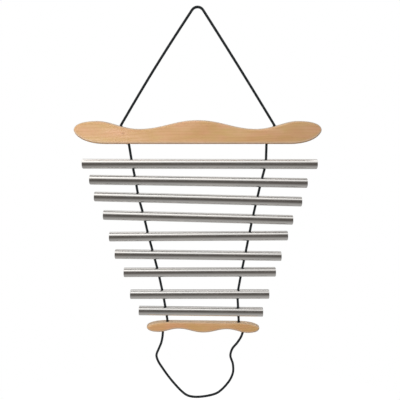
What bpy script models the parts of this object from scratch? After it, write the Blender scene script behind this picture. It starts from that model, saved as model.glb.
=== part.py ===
"""Hanging wind chime, in metres, at its real size.

Nine tubes hang one below the other between a wavy wooden bar and a smaller one. Two runs of round
cord carry them and draw together downwards. Each run goes through the top bar, then through both
walls of every tube near the point where a ringing tube stands still, and through the bottom bar.
Each tube rests on a knot inside it, and each bar on knots drawn up into it from below. Above, the
cord goes up over a hook. Below, it hangs in a loop to pull.

X runs along the tubes, +Z is up and the front faces -Y. The origin is where the hook carries the
cord. Each tube hangs a little off level and off centre, as hand-tied knots leave it.
"""

import math

import bmesh
import bpy
from mathutils import Vector

# Cord, its knots and the holes that it goes through
CORD_DIAMETER = 0.0030
CORD_CLEARANCE = 0.0005
SEAT_GAP = 0.0003
KNOT_DIAMETER = 0.0062
KNOT_HEIGHT = 0.0048
KNOT_DROP = 0.0006
CORD_POINT_STEP = 0.0065

# Hanging cord: a bend over the hook and two straight strands, each bowed a little outwards
HOOK_BEND_RADIUS = 0.0078
STRAND_BOWS = {"left": 0.0013, "right": 0.0005}
STRAND_LIFT = 0.0010

# Both bars: planed stock, sawn to a wavy outline and rounded over
BAR_THICKNESS = 0.0100
BAR_ROUNDOVER = 0.0030

# Top bar: heights are above its straight bottom edge, insets are from its ends
TOP_BAR_DROP = 0.1539
TOP_BAR_LENGTH = 0.2968
TOP_BAR_CREST_HEIGHT = 0.0283
TOP_BAR_TROUGH_HEIGHT = 0.0179
TOP_BAR_LOBE_HEIGHT = 0.0273
TOP_BAR_NOSE_HEIGHT = 0.0163
TOP_BAR_TROUGH_INSET = 0.0777
TOP_BAR_LOBE_INSET = 0.0282
TOP_BAR_STRAIGHT_INSET = 0.0381
TOP_BAR_HANGER_INSET = 0.0563
TOP_BAR_LADDER_INSET = 0.0652

# Bottom bar: the same outline upside down, heights measured down from its straight top edge
BOTTOM_BAR_GAP = 0.0082
BOTTOM_BAR_SHIFT = 0.0070
BOTTOM_BAR_TILT = -0.7
BOTTOM_BAR_LENGTH = 0.1474
BOTTOM_BAR_CREST_HEIGHT = 0.0144
BOTTOM_BAR_TROUGH_HEIGHT = 0.0094
BOTTOM_BAR_LOBE_HEIGHT = 0.0143
BOTTOM_BAR_NOSE_HEIGHT = 0.0073
BOTTOM_BAR_TROUGH_INSET = 0.0420
BOTTOM_BAR_LOBE_INSET = 0.0156
BOTTOM_BAR_STRAIGHT_INSET = 0.0293
BOTTOM_BAR_LADDER_INSET = 0.0270
BOTTOM_BAR_LOOP_INSET = 0.0210

# Tubes
TUBE_DIAMETER = 0.0120
TUBE_WALL = 0.0010

# From the top: length, inset of the holes from the left and right ends, gap to the piece above,
# side shift, and tilt in degrees with the right end up
TUBES = [
    (0.2854, 0.0602, 0.0620, 0.0182, 0.0025, -0.10),
    (0.2664, 0.0558, 0.0564, 0.0095, 0.0010, -0.90),
    (0.2559, 0.0541, 0.0554, 0.0102, 0.0005, -1.45),
    (0.2358, 0.0500, 0.0501, 0.0114, 0.0005, -1.55),
    (0.2237, 0.0490, 0.0483, 0.0122, 0.0009, 0.35),
    (0.2103, 0.0485, 0.0457, 0.0129, 0.0005, -0.75),
    (0.1934, 0.0436, 0.0433, 0.0108, 0.0025, 0.20),
    (0.1786, 0.0419, 0.0405, 0.0180, 0.0024, 0.10),
    (0.1609, 0.0350, 0.0317, 0.0117, 0.0040, -0.70),
]

# Pull loop: its route between the bottom bar's two holes, right and up from the bar's lowest edge
PULL_LOOP_ROUTE = [
    (-0.0537, -0.0076),
    (-0.0555, -0.0162),
    (-0.0589, -0.0248),
    (-0.0621, -0.0340),
    (-0.0602, -0.0423),
    (-0.0555, -0.0511),
    (-0.0441, -0.0688),
    (-0.0297, -0.0868),
    (-0.0204, -0.0942),
    (-0.0077, -0.0962),
    (0.0112, -0.0933),
    (0.0220, -0.0881),
    (0.0346, -0.0733),
    (0.0401, -0.0600),
    (0.0398, -0.0468),
    (0.0364, -0.0350),
    (0.0388, -0.0248),
    (0.0452, -0.0161),
    (0.0501, -0.0076),
]

# Shares of each stretch of a bar's outline that its curve handles reach
CREST_HANDLE = 0.40
TROUGH_INNER_HANDLE = 0.39
TROUGH_OUTER_HANDLE = 0.39
LOBE_INNER_HANDLE = 0.32
LOBE_OUTER_HANDLE = 0.88
NOSE_WAVY_HANDLE = 0.35
NOSE_STRAIGHT_HANDLE = 0.20
HEEL_HANDLE = 0.81

# How finely round shapes are cut
OUTLINE_STEPS = 11
ROUNDOVER_SEGMENTS = 3
TUBE_SIDES = 32
HOLE_SIDES = 12
CORD_BEVEL_RESOLUTION = 2
SMOOTH_ANGLE = math.radians(35)

# Along a knot: share of its height, and share of the way from the cord's radius to the knot's
KNOT_PROFILE = [(0.0, 0.0), (0.12, 0.66), (0.28, 1.0), (0.5, 0.8), (0.72, 1.0), (0.88, 0.66), (1.0, 0.0)]
ROUND_END_ANGLES = (math.radians(78), math.radians(45))

SIDES = {"left": -1, "right": 1}
CORD_RADIUS = CORD_DIAMETER / 2
HOLE_RADIUS = CORD_RADIUS + CORD_CLEARANCE
TUBE_RADIUS = TUBE_DIAMETER / 2
BORE_RADIUS = TUBE_RADIUS - TUBE_WALL
COUNTERBORE_RADIUS = KNOT_DIAMETER / 2 + CORD_CLEARANCE
PIVOT_GAP = SEAT_GAP + CORD_RADIUS


def material(name, colour, roughness, metallic=0.0):
    """A plain material with the piece's colour."""
    made = bpy.data.materials.new(name)
    made.use_nodes = True
    shader = made.node_tree.nodes["Principled BSDF"]
    shader.inputs["Base Color"].default_value = (*colour, 1.0)
    shader.inputs["Roughness"].default_value = roughness
    shader.inputs["Metallic"].default_value = metallic
    return made


def add_object(name, data, parent=None, place=Vector(), turn=0.0):
    """An object at a place in the world, turned about Y, that follows its parent."""
    made = bpy.data.objects.new(name, data)
    bpy.context.scene.collection.objects.link(made)
    made.location = place
    made.rotation_euler = (0.0, turn, 0.0)
    if parent is not None:
        made.parent = parent
        made.matrix_parent_inverse = parent.matrix_world.inverted()
    bpy.context.view_layer.update()
    return made


def add_pivot(name, ends, parent=None):
    """An empty halfway between the two ends of a swing axis."""
    return add_object(name, None, parent, (ends["left"] + ends["right"]) / 2)


def smooth(mesh):
    """Shades a mesh smooth, apart from its sharp edges."""
    mesh.shade_smooth()
    mesh.set_sharp_from_angle(angle=SMOOTH_ANGLE)


def add_cutter(name, bores, parent):
    """Round cutters in one hidden object, each with a start, a direction and the radii along it."""
    shape = bmesh.new()
    for start, along, stations in bores:
        turn = along.to_track_quat("Z", "Y").to_matrix()
        rings = []
        for distance, radius in stations:
            ring = []
            for side in range(HOLE_SIDES):
                angle = 2 * math.pi * side / HOLE_SIDES
                spoke = Vector((radius * math.cos(angle), radius * math.sin(angle), distance))
                ring.append(shape.verts.new(start + turn @ spoke))
            rings.append(ring)
        shape.faces.new(rings[0])
        shape.faces.new(rings[-1])
        for near, far in zip(rings, rings[1:]):
            for side in range(HOLE_SIDES):
                shape.faces.new((near[side - 1], near[side], far[side], far[side - 1]))
    bmesh.ops.recalc_face_normals(shape, faces=shape.faces)
    mesh = bpy.data.meshes.new(name)
    shape.to_mesh(mesh)
    shape.free()
    cutter = add_object(name, mesh, parent)
    cutter.hide_render = True
    cutter.display_type = "WIRE"
    return cutter


def cut(piece, cutter):
    """Takes a cutter's shape out of a piece."""
    hole = piece.modifiers.new("cord_holes", "BOOLEAN")
    hole.operation = "DIFFERENCE"
    hole.solver = "EXACT"
    hole.object = cutter


def bezier(start, start_handle, end_handle, end, steps):
    """Points on a cubic curve, from its start up to but without its end."""
    points = []
    for step in range(steps):
        t = step / steps
        u = 1 - t
        weights = (u**3, 3 * u * u * t, 3 * u * t * t, t**3)
        corners = (start, start_handle, end_handle, end)
        x = sum(weight * corner[0] for weight, corner in zip(weights, corners))
        z = sum(weight * corner[1] for weight, corner in zip(weights, corners))
        points.append((x, z))
    return points


def half_outline(length, crest, trough, lobe, nose, trough_inset, lobe_inset, straight_inset):
    """Right half of a bar's outline, from the wave's crest round the nose to the straight edge."""
    end_x = length / 2
    trough_x = end_x - trough_inset
    lobe_x = end_x - lobe_inset
    heel_x = end_x - straight_inset
    rise_run = lobe_x - trough_x
    top = (0.0, crest)
    low = (trough_x, trough)
    shoulder = (lobe_x, lobe)
    tip = (end_x, nose)
    heel = (heel_x, 0.0)
    from_top = (CREST_HANDLE * trough_x, crest)
    into_low = (trough_x - TROUGH_INNER_HANDLE * trough_x, trough)
    from_low = (trough_x + TROUGH_OUTER_HANDLE * rise_run, trough)
    into_shoulder = (lobe_x - LOBE_INNER_HANDLE * rise_run, lobe)
    from_shoulder = (lobe_x + LOBE_OUTER_HANDLE * lobe_inset, lobe)
    into_tip = (end_x, nose + NOSE_WAVY_HANDLE * (lobe - nose))
    from_tip = (end_x, nose - NOSE_STRAIGHT_HANDLE * nose)
    into_heel = (heel_x + HEEL_HANDLE * straight_inset, 0.0)
    points = bezier(top, from_top, into_low, low, OUTLINE_STEPS)
    points += bezier(low, from_low, into_shoulder, shoulder, OUTLINE_STEPS)
    points += bezier(shoulder, from_shoulder, into_tip, tip, OUTLINE_STEPS)
    points += bezier(tip, from_tip, into_heel, heel, OUTLINE_STEPS)
    return points + [heel]


def wavy_height(half, x):
    """The wavy edge's height above the straight edge, at a distance from the bar's middle."""
    for (x_0, z_0), (x_1, z_1) in zip(half, half[1:]):
        if x_0 <= x <= x_1:
            return z_0 + (z_1 - z_0) * (x - x_0) / (x_1 - x_0)
    return 0.0


def add_bar(name, half, up, wood, parent, place=Vector(), turn=0.0):
    """A flat bar with a wavy outline and rounded edges. up is 1, or -1 with the wave below."""
    mirrored = [(-x, z) for x, z in reversed(half[1:])]
    shape = bmesh.new()
    ring = [shape.verts.new((x, -BAR_THICKNESS / 2, up * z)) for x, z in half + mirrored]
    front = shape.faces.new(ring)
    grown = bmesh.ops.extrude_face_region(shape, geom=[front])["geom"]
    moved = [part for part in grown if isinstance(part, bmesh.types.BMVert)]
    bmesh.ops.translate(shape, verts=moved, vec=(0.0, BAR_THICKNESS, 0.0))
    bmesh.ops.recalc_face_normals(shape, faces=shape.faces)
    rims = [edge for edge in shape.edges if abs(edge.verts[0].co.y - edge.verts[1].co.y) < SEAT_GAP]
    bmesh.ops.bevel(
        shape,
        geom=rims,
        offset=BAR_ROUNDOVER,
        segments=ROUNDOVER_SEGMENTS,
        profile=0.5,
        affect="EDGES",
        clamp_overlap=True,
    )
    mesh = bpy.data.meshes.new(name)
    shape.to_mesh(mesh)
    shape.free()
    mesh.materials.append(wood)
    smooth(mesh)
    return add_object(name, mesh, parent, place, turn)


def add_tube(name, length, centre, tilt, metal, parent):
    """An open tube along X, turned by its tilt."""
    rings = [
        (-length / 2, TUBE_RADIUS),
        (length / 2, TUBE_RADIUS),
        (length / 2, BORE_RADIUS),
        (-length / 2, BORE_RADIUS),
    ]
    shape = bmesh.new()
    profile = [shape.verts.new((x, 0.0, radius)) for x, radius in rings]
    edges = [shape.edges.new((a, b)) for a, b in zip(profile, profile[1:] + profile[:1])]
    bmesh.ops.spin(
        shape,
        geom=profile + edges,
        cent=(0.0, 0.0, 0.0),
        axis=(1.0, 0.0, 0.0),
        angle=2 * math.pi,
        steps=TUBE_SIDES,
        use_merge=True,
    )
    bmesh.ops.remove_doubles(shape, verts=shape.verts, dist=SEAT_GAP / 10)
    bmesh.ops.recalc_face_normals(shape, faces=shape.faces)
    mesh = bpy.data.meshes.new(name)
    shape.to_mesh(mesh)
    shape.free()
    mesh.materials.append(metal)
    smooth(mesh)
    return add_object(name, mesh, parent, centre, -math.radians(tilt))


def add_cord(name, route, cord, parent):
    """A round cord along a route of places and radii."""
    origin = route[0][0]
    curve = bpy.data.curves.new(name, "CURVE")
    curve.dimensions = "3D"
    curve.bevel_depth = CORD_RADIUS
    curve.bevel_resolution = CORD_BEVEL_RESOLUTION
    curve.use_fill_caps = True
    spline = curve.splines.new("POLY")
    spline.points.add(len(route) - 1)
    for point, (place, radius) in zip(spline.points, route):
        point.co = (*(place - origin), 1.0)
        point.radius = radius / CORD_RADIUS
    curve.materials.append(cord)
    return add_object(name, curve, parent, origin)


def plain(places):
    """A route of even thickness."""
    return [(place, CORD_RADIUS) for place in places]


def round_end(centre, outwards):
    """The half ball that closes a route at its swing axis, from its tip to its widest ring."""
    route = []
    for angle in ROUND_END_ANGLES:
        place = centre + outwards * CORD_RADIUS * math.sin(angle)
        route.append((place, CORD_RADIUS * math.cos(angle)))
    return route


def knot(start, along):
    """A knot's route, from the cord that enters it to the cord that leaves it."""
    swell = KNOT_DIAMETER / 2 - CORD_RADIUS
    route = []
    for share, fatness in KNOT_PROFILE:
        route.append((start + along * KNOT_HEIGHT * share, CORD_RADIUS + swell * fatness))
    return route


def smooth_route(corners, step):
    """Points about a step apart, on a smooth curve through all of the corners."""
    knots = [0.0]
    for a, b in zip(corners, corners[1:]):
        knots.append(knots[-1] + (b - a).length)
    slopes = []
    for i in range(len(corners)):
        before = max(i - 1, 0)
        after = min(i + 1, len(corners) - 1)
        slopes.append((corners[after] - corners[before]) / (knots[after] - knots[before]))
    count = max(2, round(knots[-1] / step))
    points = []
    span = 0
    for i in range(count + 1):
        here = knots[-1] * i / count
        while span < len(corners) - 2 and here > knots[span + 1]:
            span += 1
        width = knots[span + 1] - knots[span]
        t = (here - knots[span]) / width
        points.append(
            corners[span] * (2 * t**3 - 3 * t**2 + 1)
            + slopes[span] * (t**3 - 2 * t**2 + t) * width
            + corners[span + 1] * (3 * t**2 - 2 * t**3)
            + slopes[span + 1] * (t**3 - t**2) * width
        )
    return points


def towards(start, end):
    """The direction from one place to another."""
    return (end - start).normalized()


def turned(x, z, tilt):
    """A place in the plane of the chime, turned about the origin with the right end up."""
    angle = math.radians(tilt)
    return Vector((x * math.cos(angle) - z * math.sin(angle), 0.0, x * math.sin(angle) + z * math.cos(angle)))


class TubeSeat:
    """Where a tube hangs, and where the cords cross its axis."""

    def __init__(self, above, size):
        self.length, left_inset, right_inset, gap, shift, self.tilt = size
        insets = {"left": left_inset, "right": right_inset}
        self.centre = Vector((shift, 0.0, above - gap - TUBE_RADIUS))
        self.cross = {}
        for side, sign in SIDES.items():
            self.cross[side] = self.centre + turned(sign * (self.length / 2 - insets[side]), 0.0, self.tilt)

    def reach(self, along, radius=TUBE_RADIUS):
        """How far the tube's wall is from its axis in a direction across it."""
        lean = along.dot(turned(1.0, 0.0, self.tilt))
        return radius / math.sqrt(1 - lean**2)


class Layout:
    """All the places that more than one piece uses."""

    def __init__(self):
        self.top_half = half_outline(
            TOP_BAR_LENGTH,
            TOP_BAR_CREST_HEIGHT,
            TOP_BAR_TROUGH_HEIGHT,
            TOP_BAR_LOBE_HEIGHT,
            TOP_BAR_NOSE_HEIGHT,
            TOP_BAR_TROUGH_INSET,
            TOP_BAR_LOBE_INSET,
            TOP_BAR_STRAIGHT_INSET,
        )
        self.bottom_half = half_outline(
            BOTTOM_BAR_LENGTH,
            BOTTOM_BAR_CREST_HEIGHT,
            BOTTOM_BAR_TROUGH_HEIGHT,
            BOTTOM_BAR_LOBE_HEIGHT,
            BOTTOM_BAR_NOSE_HEIGHT,
            BOTTOM_BAR_TROUGH_INSET,
            BOTTOM_BAR_LOBE_INSET,
            BOTTOM_BAR_STRAIGHT_INSET,
        )
        self.place_top_bar()
        self.place_tubes()
        self.place_bottom_bar()
        self.place_swing_axes()

    def place_top_bar(self):
        """The top bar's straight edge, where the strands enter it and where they leave it."""
        self.top_bar = Vector((0.0, 0.0, -TOP_BAR_DROP))
        hanger_x = TOP_BAR_LENGTH / 2 - TOP_BAR_HANGER_INSET
        ladder_x = TOP_BAR_LENGTH / 2 - TOP_BAR_LADDER_INSET
        hanger_z = wavy_height(self.top_half, hanger_x) + STRAND_LIFT
        self.hanger_ends = {}
        self.ladder_tops = {}
        for side, sign in SIDES.items():
            self.hanger_ends[side] = self.top_bar + Vector((sign * hanger_x, 0.0, hanger_z))
            self.ladder_tops[side] = self.top_bar + Vector((sign * ladder_x, 0.0, 0.0))

    def place_tubes(self):
        """The tubes, each below the piece above it."""
        self.tubes = []
        above = self.top_bar.z
        for size in TUBES:
            tube = TubeSeat(above, size)
            self.tubes.append(tube)
            above = tube.centre.z - TUBE_RADIUS

    def place_bottom_bar(self):
        """The bottom bar's straight edge, where the cords enter it and where the loop leaves it."""
        above = self.tubes[-1].centre.z - TUBE_RADIUS
        self.bottom_bar = Vector((BOTTOM_BAR_SHIFT, 0.0, above - BOTTOM_BAR_GAP))
        ladder_x = BOTTOM_BAR_LENGTH / 2 - BOTTOM_BAR_LADDER_INSET
        loop_x = BOTTOM_BAR_LENGTH / 2 - BOTTOM_BAR_LOOP_INSET
        loop_z = -wavy_height(self.bottom_half, loop_x)
        self.ladder_bottoms = {}
        self.loop_holes = {}
        for side, sign in SIDES.items():
            self.ladder_bottoms[side] = self.bottom_bar + turned(sign * ladder_x, 0.0, BOTTOM_BAR_TILT)
            self.loop_holes[side] = self.bottom_bar + turned(sign * loop_x, loop_z, BOTTOM_BAR_TILT)

    def place_swing_axes(self):
        """Where each run of cord bends: at the hook, and where it leaves a bar or a tube."""
        bend_centre = Vector((0.0, 0.0, CORD_RADIUS - HOOK_BEND_RADIUS))
        self.hook_bends = {}
        self.hook_angles = {}
        self.loop_ends = {}
        self.ladder_directions = []
        self.ladder_exits = []
        self.ladder_pivots = []
        for side, sign in SIDES.items():
            reach = self.hanger_ends[side] - bend_centre
            lean = math.atan2(sign * reach.x, -reach.z) - math.asin(HOOK_BEND_RADIUS / reach.length)
            self.hook_angles[side] = math.pi / 2 - lean
            outwards = Vector((sign * math.cos(lean), 0.0, math.sin(lean)))
            self.hook_bends[side] = bend_centre + HOOK_BEND_RADIUS * outwards
            leaving = towards(self.ladder_bottoms[side], self.loop_holes[side])
            self.loop_ends[side] = self.loop_holes[side] + leaving * PIVOT_GAP
        stages = [self.ladder_tops] + [tube.cross for tube in self.tubes] + [self.ladder_bottoms]
        for level, (here, below) in enumerate(zip(stages, stages[1:])):
            directions = {}
            exits = {}
            pivots = {}
            for side in SIDES:
                along = towards(here[side], below[side])
                surface = self.tubes[level - 1].reach(along) if level else 0.0
                directions[side] = along
                exits[side] = here[side] + along * surface
                pivots[side] = exits[side] + along * PIVOT_GAP
            self.ladder_directions.append(directions)
            self.ladder_exits.append(exits)
            self.ladder_pivots.append(pivots)


def bend_over_hook(layout, cord, parent):
    """The short stretch of the hanging cord that lies over the hook."""
    trim = PIVOT_GAP / HOOK_BEND_RADIUS
    start = -(layout.hook_angles["left"] - trim)
    end = layout.hook_angles["right"] - trim
    count = max(4, round((end - start) * HOOK_BEND_RADIUS / CORD_DIAMETER))
    places = []
    for i in range(count + 1):
        angle = start + (end - start) * i / count
        x = HOOK_BEND_RADIUS * math.sin(angle)
        z = CORD_RADIUS - HOOK_BEND_RADIUS + HOOK_BEND_RADIUS * math.cos(angle)
        places.append(Vector((x, 0.0, z)))
    return add_cord("hanger_bend", plain(places), cord, parent)


def hanging_strand(layout, side, cord, parent):
    """One strand from the bend over the hook down to the top bar."""
    start = layout.hook_bends[side]
    end = layout.hanger_ends[side]
    along = towards(start, end)
    outwards = Vector((-along.z * SIDES[side], 0.0, along.x * SIDES[side]))
    count = round((end - start).length / CORD_POINT_STEP)
    places = []
    for i in range(count + 1):
        share = i / count
        places.append(start.lerp(end, share) + outwards * STRAND_BOWS[side] * math.sin(math.pi * share))
    first = towards(places[0], places[1])
    last = towards(places[-2], places[-1])
    route = round_end(start, -first) + plain(places) + round_end(end, last)[::-1]
    return add_cord(f"hanger_strand_{side}", route, cord, parent)


def top_bar_cord(layout, side, cord, parent):
    """The cord inside the top bar, with the knot at its lower end."""
    inside = towards(layout.hanger_ends[side], layout.ladder_tops[side])
    start = layout.hanger_ends[side] + inside * PIVOT_GAP
    route = plain([start]) + knot(layout.ladder_tops[side] - inside * KNOT_HEIGHT, inside)
    return add_cord(f"top_bar_cord_{side}", route, cord, parent)


def tube_cord(layout, number, side, cord, parent):
    """The cord from where it leaves the piece above, through a tube, with the knot inside the tube."""
    tube = layout.tubes[number - 1]
    start = layout.ladder_pivots[number - 1][side]
    above = layout.ladder_directions[number - 1][side]
    seat = tube.cross[side] - above * (tube.reach(above, BORE_RADIUS) - KNOT_DROP)
    route = round_end(start, -above) + plain([start]) + knot(seat, above)
    route += plain([layout.ladder_exits[number][side]])
    return add_cord(f"tube_{number}_cord_{side}", route, cord, parent)


def bottom_bar_cord(layout, side, cord, parent):
    """The cord from the lowest tube through the bottom bar, with the knot at its lower end."""
    start = layout.ladder_pivots[-1][side]
    above = layout.ladder_directions[-1][side]
    leaving = towards(layout.ladder_bottoms[side], layout.loop_holes[side])
    tied = knot(layout.loop_holes[side] - leaving * KNOT_HEIGHT, leaving)
    route = round_end(start, -above) + plain([start, layout.ladder_bottoms[side]]) + tied
    return add_cord(f"bottom_bar_cord_{side}", route, cord, parent)


def pull_loop(layout, cord, parent):
    """The loop of cord that hangs from the bottom bar."""
    lowest = max(BOTTOM_BAR_CREST_HEIGHT, BOTTOM_BAR_LOBE_HEIGHT)
    reference = layout.bottom_bar - Vector((0.0, 0.0, lowest))
    corners = [layout.loop_ends["left"]]
    corners += [reference + Vector((x, 0.0, z)) for x, z in PULL_LOOP_ROUTE]
    corners += [layout.loop_ends["right"]]
    places = smooth_route(corners, CORD_POINT_STEP)
    first = towards(places[0], places[1])
    last = towards(places[-2], places[-1])
    route = round_end(places[0], -first) + plain(places) + round_end(places[-1], last)[::-1]
    return add_cord("pull_loop", route, cord, parent)


def drill_bar(bar, upper, lower, name, parent):
    """Drills a bar from edge to edge along each run of cord, wider at the bottom for the knot."""
    bores = []
    for side in SIDES:
        along = towards(upper[side], lower[side])
        start = upper[side] - along * CORD_DIAMETER
        shoulder = (lower[side] - start).length - KNOT_HEIGHT - KNOT_DROP
        outside = (lower[side] - start).length + CORD_DIAMETER
        stations = [(0.0, HOLE_RADIUS), (shoulder, HOLE_RADIUS)]
        stations += [(shoulder, COUNTERBORE_RADIUS), (outside, COUNTERBORE_RADIUS)]
        bores.append((start, along, stations))
    cut(bar, add_cutter(name, bores, parent))


def drill_tube(piece, layout, number, parent):
    """Drills both walls of a tube, each in line with the stretch of cord that passes it."""
    tube = layout.tubes[number - 1]
    bores = []
    for side in SIDES:
        for along in (-layout.ladder_directions[number - 1][side], layout.ladder_directions[number][side]):
            start = tube.cross[side] + along * (tube.reach(along) - 2 * TUBE_WALL)
            bores.append((start, along, [(0.0, HOLE_RADIUS), (3 * TUBE_WALL, HOLE_RADIUS)]))
    cut(piece, add_cutter(f"tube_{number}_drill", bores, parent))


def build():
    """The whole chime, as a chain of empties on the swing axes with the pieces that each carries."""
    wood = material("beech", (0.62, 0.38, 0.19), 0.55)
    metal = material("satin_aluminium", (0.62, 0.61, 0.59), 0.32, 1.0)
    cord = material("black_cord", (0.016, 0.02, 0.022), 0.7)
    layout = Layout()

    hook = add_object("hook_point", None)
    bend_over_hook(layout, cord, hook)

    hanger = add_pivot("hanger_swing", layout.hook_bends, hook)
    for side in SIDES:
        hanging_strand(layout, side, cord, hanger)

    carrier = add_pivot("top_bar_rock", layout.hanger_ends, hanger)
    top_bar = add_bar("top_bar", layout.top_half, 1, wood, carrier, layout.top_bar)
    drill_bar(top_bar, layout.hanger_ends, layout.ladder_tops, "top_bar_drill", carrier)
    for side in SIDES:
        top_bar_cord(layout, side, cord, carrier)

    for number, tube in enumerate(layout.tubes, 1):
        carrier = add_pivot(f"tube_{number}_swing", layout.ladder_pivots[number - 1], carrier)
        piece = add_tube(f"chime_tube_{number}", tube.length, tube.centre, tube.tilt, metal, carrier)
        drill_tube(piece, layout, number, carrier)
        for side in SIDES:
            tube_cord(layout, number, side, cord, carrier)

    carrier = add_pivot("bottom_bar_swing", layout.ladder_pivots[-1], carrier)
    turn = -math.radians(BOTTOM_BAR_TILT)
    bottom_bar = add_bar("bottom_bar", layout.bottom_half, -1, wood, carrier, layout.bottom_bar, turn)
    drill_bar(bottom_bar, layout.ladder_bottoms, layout.loop_holes, "bottom_bar_drill", carrier)
    for side in SIDES:
        bottom_bar_cord(layout, side, cord, carrier)

    loop = add_pivot("pull_loop_swing", layout.loop_ends, carrier)
    pull_loop(layout, cord, loop)
    return layout


for old in list(bpy.data.objects):
    bpy.data.objects.remove(old, do_unlink=True)
chime = build()
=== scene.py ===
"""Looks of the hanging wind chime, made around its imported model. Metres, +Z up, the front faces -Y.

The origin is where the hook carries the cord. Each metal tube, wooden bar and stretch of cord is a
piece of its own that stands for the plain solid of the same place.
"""

import math

import bmesh
import bpy
import numpy as np
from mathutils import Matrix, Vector


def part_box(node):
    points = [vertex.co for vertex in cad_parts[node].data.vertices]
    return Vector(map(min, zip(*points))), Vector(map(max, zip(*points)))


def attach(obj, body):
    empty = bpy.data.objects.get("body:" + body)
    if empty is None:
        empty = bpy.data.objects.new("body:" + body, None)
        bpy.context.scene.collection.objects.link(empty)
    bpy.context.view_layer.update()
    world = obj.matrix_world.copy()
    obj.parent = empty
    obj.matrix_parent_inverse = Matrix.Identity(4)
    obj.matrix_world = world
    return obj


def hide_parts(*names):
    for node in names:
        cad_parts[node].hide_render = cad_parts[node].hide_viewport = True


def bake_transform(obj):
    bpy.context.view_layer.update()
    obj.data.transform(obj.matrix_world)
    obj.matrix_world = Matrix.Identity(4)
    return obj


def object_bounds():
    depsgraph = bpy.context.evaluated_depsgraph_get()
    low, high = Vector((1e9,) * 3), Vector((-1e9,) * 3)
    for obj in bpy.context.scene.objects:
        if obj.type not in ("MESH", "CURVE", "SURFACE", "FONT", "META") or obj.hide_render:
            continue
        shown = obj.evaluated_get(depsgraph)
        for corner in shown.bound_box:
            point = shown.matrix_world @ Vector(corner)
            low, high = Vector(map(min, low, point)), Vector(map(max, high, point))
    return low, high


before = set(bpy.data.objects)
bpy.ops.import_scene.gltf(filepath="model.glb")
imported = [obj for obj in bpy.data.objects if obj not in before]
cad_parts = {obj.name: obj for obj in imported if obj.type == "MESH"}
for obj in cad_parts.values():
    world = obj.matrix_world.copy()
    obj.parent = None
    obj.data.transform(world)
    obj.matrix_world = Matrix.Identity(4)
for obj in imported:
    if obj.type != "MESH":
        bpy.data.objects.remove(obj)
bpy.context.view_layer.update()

# Cord, knots and the holes that the cord goes through
CORD_DIAMETER = 0.0030
CORD_RADIUS = CORD_DIAMETER / 2
CORD_CLEARANCE = 0.0005
HOLE_RADIUS = CORD_RADIUS + CORD_CLEARANCE
KNOT_DIAMETER = 0.0062
KNOT_HEIGHT = 0.0048
KNOT_DROP = 0.0006
COUNTERBORE_RADIUS = KNOT_DIAMETER / 2 + CORD_CLEARANCE

# Hanging cord over the hook
HOOK_BEND_RADIUS = 0.0078
STRAND_BOWS = {"left": 0.0013, "right": 0.0005}
STRAND_LIFT = 0.0010

# Bars: thickness and the rounding of all their edges
BAR_THICKNESS = 0.0100
BAR_ROUNDOVER = 0.0030

# Outline of each bar: heights from its straight edge and insets from its ends
TOP_BAR = {
    "length": 0.2968,
    "crest": 0.0283,
    "trough": 0.0179,
    "lobe": 0.0273,
    "nose": 0.0163,
    "trough_inset": 0.0777,
    "lobe_inset": 0.0282,
    "straight_inset": 0.0381,
}
BOTTOM_BAR = {
    "length": 0.1474,
    "crest": 0.0144,
    "trough": 0.0094,
    "lobe": 0.0143,
    "nose": 0.0073,
    "trough_inset": 0.0420,
    "lobe_inset": 0.0156,
    "straight_inset": 0.0293,
}
HANGER_INSET = 0.0563
TOP_LADDER_INSET = 0.0652
BOTTOM_LADDER_INSET = 0.0270
LOOP_INSET = 0.0210
BOTTOM_BAR_TILT = -0.7

# Tubes
TUBE_COUNT = 9
TUBE_RADIUS = 0.0060
TUBE_WALL = 0.0010
BORE_RADIUS = TUBE_RADIUS - TUBE_WALL
CORD_HOLE_INSETS = {
    "left": [0.0602, 0.0558, 0.0541, 0.0500, 0.0490, 0.0485, 0.0436, 0.0419, 0.0350],
    "right": [0.0620, 0.0564, 0.0554, 0.0501, 0.0483, 0.0457, 0.0433, 0.0405, 0.0317],
}

# Pull loop: its route between the bottom bar's two holes, right and up from the bar's lowest edge
PULL_LOOP_ROUTE = [
    (-0.0537, -0.0076),
    (-0.0555, -0.0162),
    (-0.0589, -0.0248),
    (-0.0621, -0.0340),
    (-0.0602, -0.0423),
    (-0.0555, -0.0511),
    (-0.0441, -0.0688),
    (-0.0297, -0.0868),
    (-0.0204, -0.0942),
    (-0.0077, -0.0962),
    (0.0112, -0.0933),
    (0.0220, -0.0881),
    (0.0346, -0.0733),
    (0.0401, -0.0600),
    (0.0398, -0.0468),
    (0.0364, -0.0350),
    (0.0388, -0.0248),
    (0.0452, -0.0161),
    (0.0501, -0.0076),
]

# The photograph's camera
CAMERA_AIM = Vector((0.0028, 0.0, -0.2230))
CAMERA_DISTANCE = 0.540
CAMERA_PITCH = math.radians(11)
CAMERA_LENS = 39.19
CAMERA_SENSOR = 36.0

SIDES = {"left": -1, "right": 1}
MM = 0.001


def add_camera():
    """The camera, level with the middle of the tubes and looking a little down at them."""
    data = bpy.data.cameras.new("camera")
    data.lens = CAMERA_LENS
    data.sensor_width = CAMERA_SENSOR
    data.clip_start = 0.01
    camera = bpy.data.objects.new("camera", data)
    bpy.context.scene.collection.objects.link(camera)
    back = Vector((0.0, -math.cos(CAMERA_PITCH), math.sin(CAMERA_PITCH)))
    camera.location = CAMERA_AIM + CAMERA_DISTANCE * back
    camera.rotation_euler = (-back).to_track_quat("-Z", "Y").to_euler()
    bpy.context.scene.camera = camera


# Shader helpers


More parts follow.
